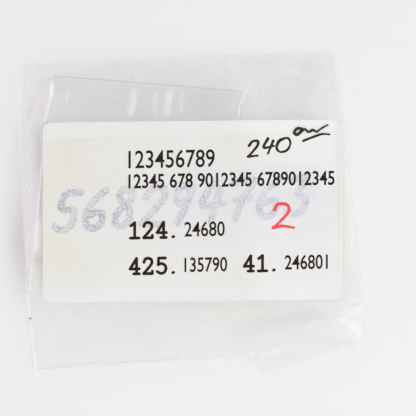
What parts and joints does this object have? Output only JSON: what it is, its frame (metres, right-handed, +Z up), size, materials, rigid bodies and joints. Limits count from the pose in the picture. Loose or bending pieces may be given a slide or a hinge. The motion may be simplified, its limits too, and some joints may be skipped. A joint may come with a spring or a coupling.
{
  "type": "watch crystal",
  "caption": "Flat square watch crystal kept loose in a clear film bag with an open mouth and welded sides, with paper labels stuck on its front.",
  "frame": {"origin": "under the middle of the bag's box, on the face that the bag lies on", "axes": "+X across the bag towards the right seam, +Y towards the closed end, +Z up out of the labelled front"},
  "size_m": [0.0566, 0.0538, 0.0026],
  "materials": {
    "crystal": "polished, with a faint violet antireflective coat",
    "film": "clear glossy polythene film, softly creased",
    "seam": "clear welded bead",
    "base_paper": "smooth white label paper",
    "print_paper": "thermal label paper, yellowed at its edges",
    "adhesive": "dried clear label adhesive"
  },
  "bodies": {
    "bag": {"bag_back_film": "film", "bag_front_film": "film", "closed_end_fold": "film", "left_side_seam": "seam", "right_side_seam": "seam", "base_label_adhesive": "adhesive", "base_label_paper": "base_paper", "print_label_adhesive": "adhesive", "print_label_paper": "print_paper"},
    "crystal": {"crystal": "crystal"}
  },
  "joints": [
    {"name": "crystal_slide", "type": "slide", "parent": "bag", "child": "crystal", "axis": [0, -1, 0], "range_m": [0, 0.053]}
  ]
}
